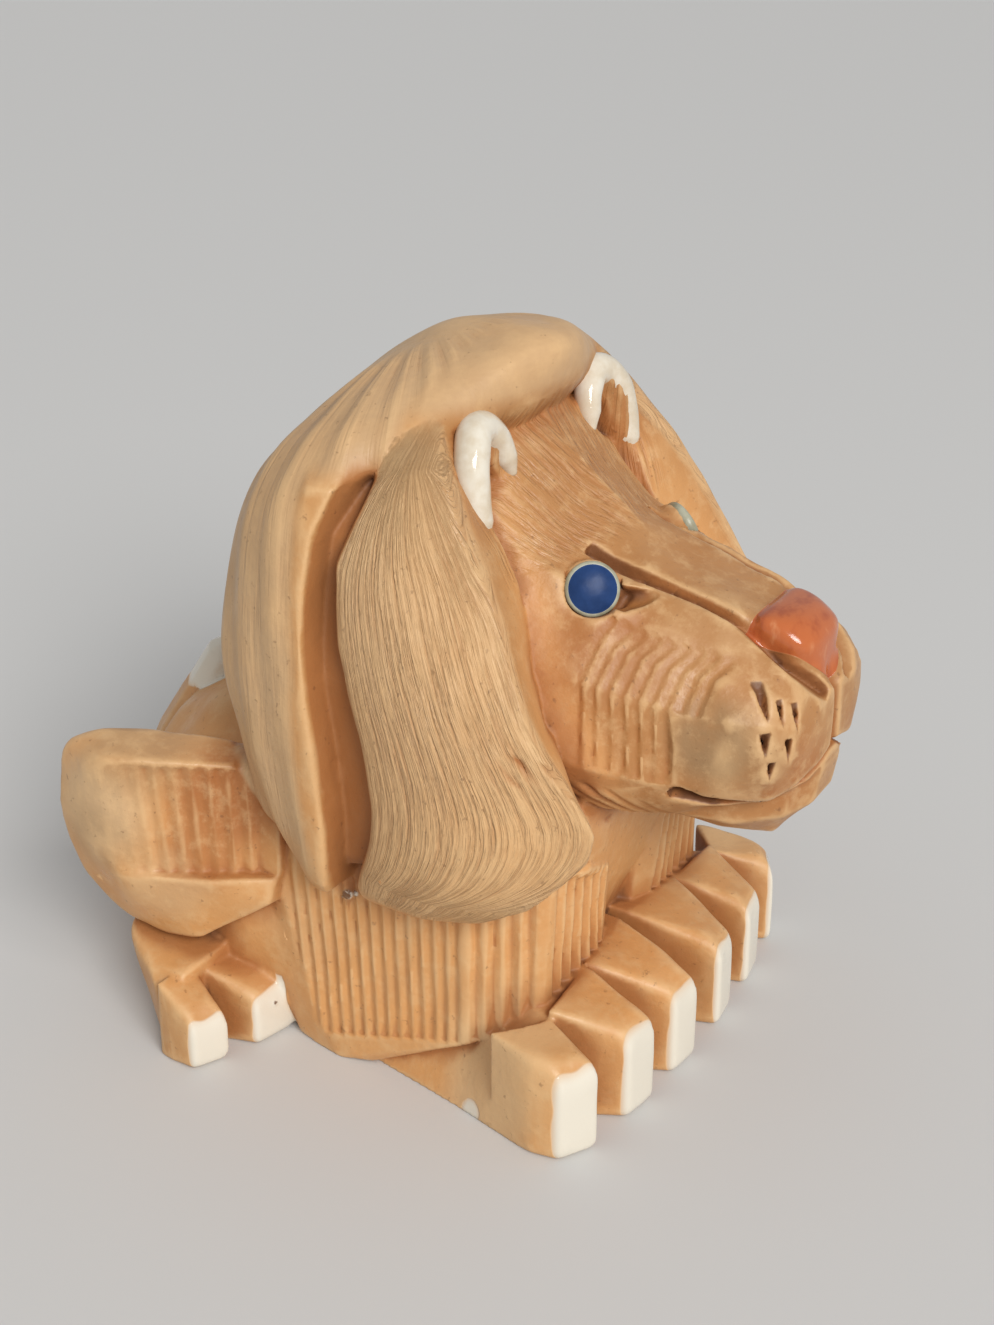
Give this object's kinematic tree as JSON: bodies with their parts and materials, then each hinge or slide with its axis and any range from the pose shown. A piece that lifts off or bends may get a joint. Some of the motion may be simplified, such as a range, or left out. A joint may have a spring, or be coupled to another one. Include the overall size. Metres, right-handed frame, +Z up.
{
  "type": "lion figurine",
  "caption": "Crouching lion figurine of carved clay with a lock-like mane, combed sides and glazed ear rims, nose, eyes and toes; stands on its flat underside.",
  "frame": {"origin": "bottom centre of the bounding box, on the surface the lion stands on", "axes": "+Z up, -Y is the way the lion faces, -X is its right side; it mirrors about the YZ plane"},
  "size_m": [0.0818, 0.1102, 0.0981],
  "materials": {
    "clay": "satin carved clay with darker stain in the cuts; white, red and blue glaze on small areas"
  },
  "bodies": {
    "root": {"lion_figurine": "clay"}
  },
  "joints": []
}
